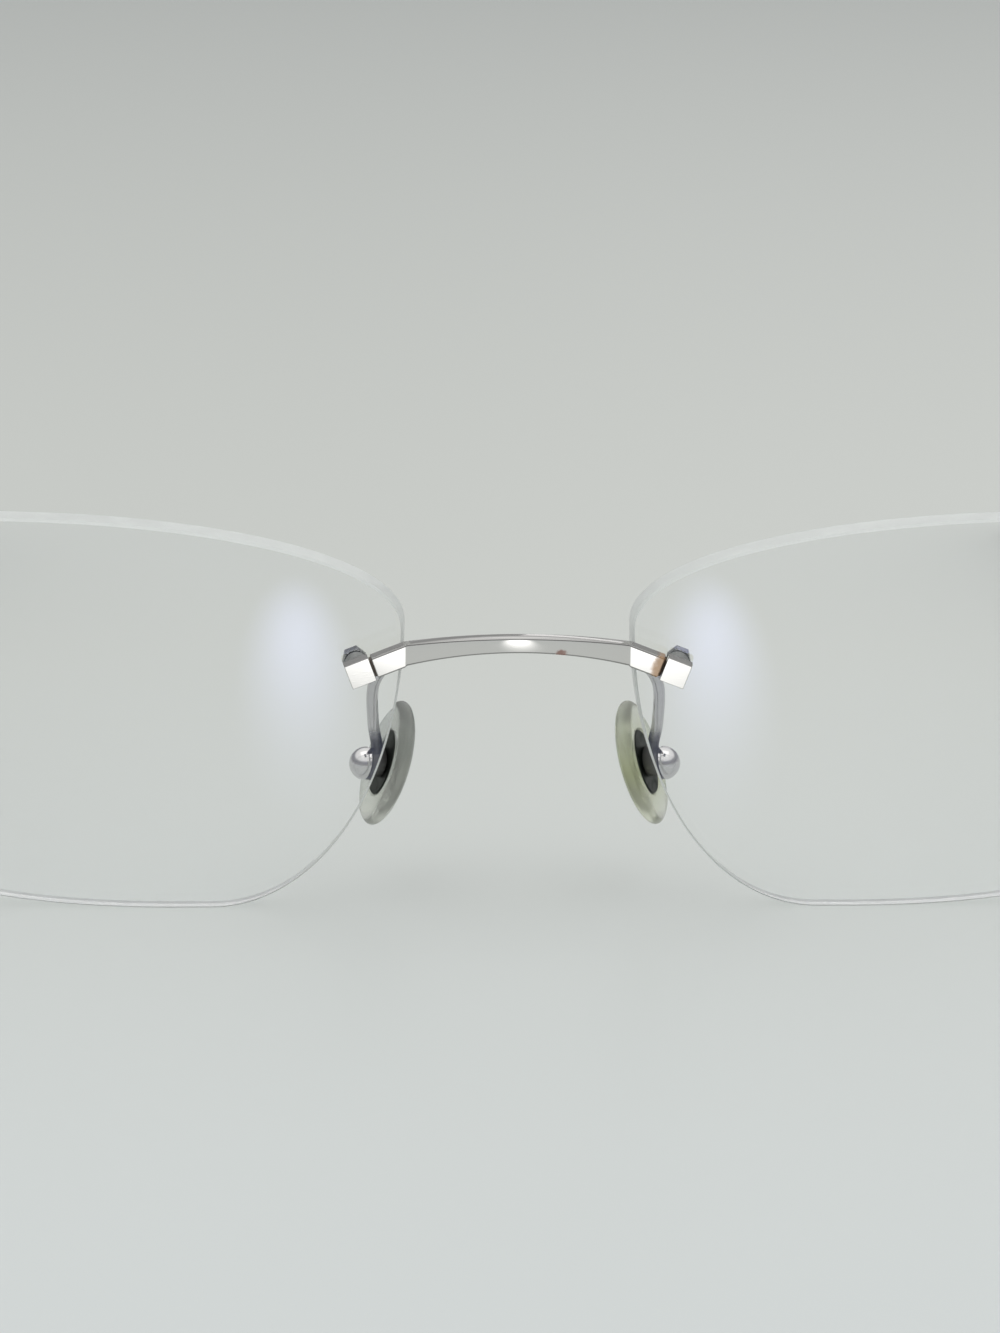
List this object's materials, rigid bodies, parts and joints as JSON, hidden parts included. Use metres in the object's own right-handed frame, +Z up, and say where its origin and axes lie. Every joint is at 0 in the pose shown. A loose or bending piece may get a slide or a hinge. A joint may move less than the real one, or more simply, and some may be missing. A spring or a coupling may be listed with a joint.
{
  "type": "rimless eyeglasses",
  "caption": "Rimless eyeglasses with drilled clear lenses, an arched metal bridge bar, swivelling nose pads on wire arms, and folding temples.",
  "frame": {"origin": "middle of the glasses' box, on the surface that the open glasses stand on", "axes": "+Z up, +Y from the lenses back to the temple tips, +X to the wearer's left"},
  "size_m": [0.1322, 0.142, 0.0337],
  "materials": {
    "lens_clear": "polished",
    "plated_metal": "polished",
    "steel_hardware": "satin",
    "pad_insert": "satin",
    "clear_plastic": "gloss",
    "pad_silicone": "satin",
    "tip_acetate": "gloss"
  },
  "bodies": {
    "front": {"bridge_bar": "plated_metal", "lens_left": "lens_clear", "bridge_post_left": "plated_metal", "bridge_front_washer_left": "clear_plastic", "bridge_bushing_left": "clear_plastic", "bridge_back_washer_left": "clear_plastic", "bridge_nut_left": "steel_hardware", "endpiece_post_left": "plated_metal", "endpiece_front_washer_left": "clear_plastic", "endpiece_bushing_left": "clear_plastic", "endpiece_back_washer_left": "clear_plastic", "endpiece_nut_left": "steel_hardware", "pad_arm_left": "plated_metal", "endpiece_left": "plated_metal", "hinge_screw_left": "steel_hardware", "lens_right": "lens_clear", "bridge_post_right": "plated_metal", "bridge_front_washer_right": "clear_plastic", "bridge_bushing_right": "clear_plastic", "bridge_back_washer_right": "clear_plastic", "bridge_nut_right": "steel_hardware", "endpiece_post_right": "plated_metal", "endpiece_front_washer_right": "clear_plastic", "endpiece_bushing_right": "clear_plastic", "endpiece_back_washer_right": "clear_plastic", "endpiece_nut_right": "steel_hardware", "pad_arm_right": "plated_metal", "endpiece_right": "plated_metal", "hinge_screw_right": "steel_hardware"},
    "pad_left": {"pad_plate_left": "pad_insert", "pad_ball_left": "plated_metal", "nose_pad_left": "pad_silicone"},
    "temple_left": {"temple_left": "plated_metal", "temple_tip_left": "tip_acetate"},
    "pad_right": {"pad_plate_right": "pad_insert", "pad_ball_right": "plated_metal", "nose_pad_right": "pad_silicone"},
    "temple_right": {"temple_right": "plated_metal", "temple_tip_right": "tip_acetate"}
  },
  "joints": [
    {"name": "temple_left_fold", "type": "hinge", "parent": "front", "child": "temple_left", "pos_m": [0.06283, -0.05375, 0.02141], "axis": [0, 0, 1], "range_deg": [0, 90]},
    {"name": "temple_right_fold", "type": "hinge", "parent": "front", "child": "temple_right", "pos_m": [-0.06283, -0.05375, 0.02141], "axis": [0, 0, -1], "range_deg": [0, 82]},
    {"name": "pad_left_swivel", "type": "hinge", "parent": "front", "child": "pad_left", "pos_m": [0.01181, -0.06189, 0.01149], "axis": [0.8818, -0.3982, 0.2528], "range_deg": [-12, 12]},
    {"name": "pad_right_swivel", "type": "hinge", "parent": "front", "child": "pad_right", "pos_m": [-0.01181, -0.06189, 0.01149], "axis": [-0.8818, -0.3982, 0.2528], "range_deg": [-12, 12]}
  ]
}
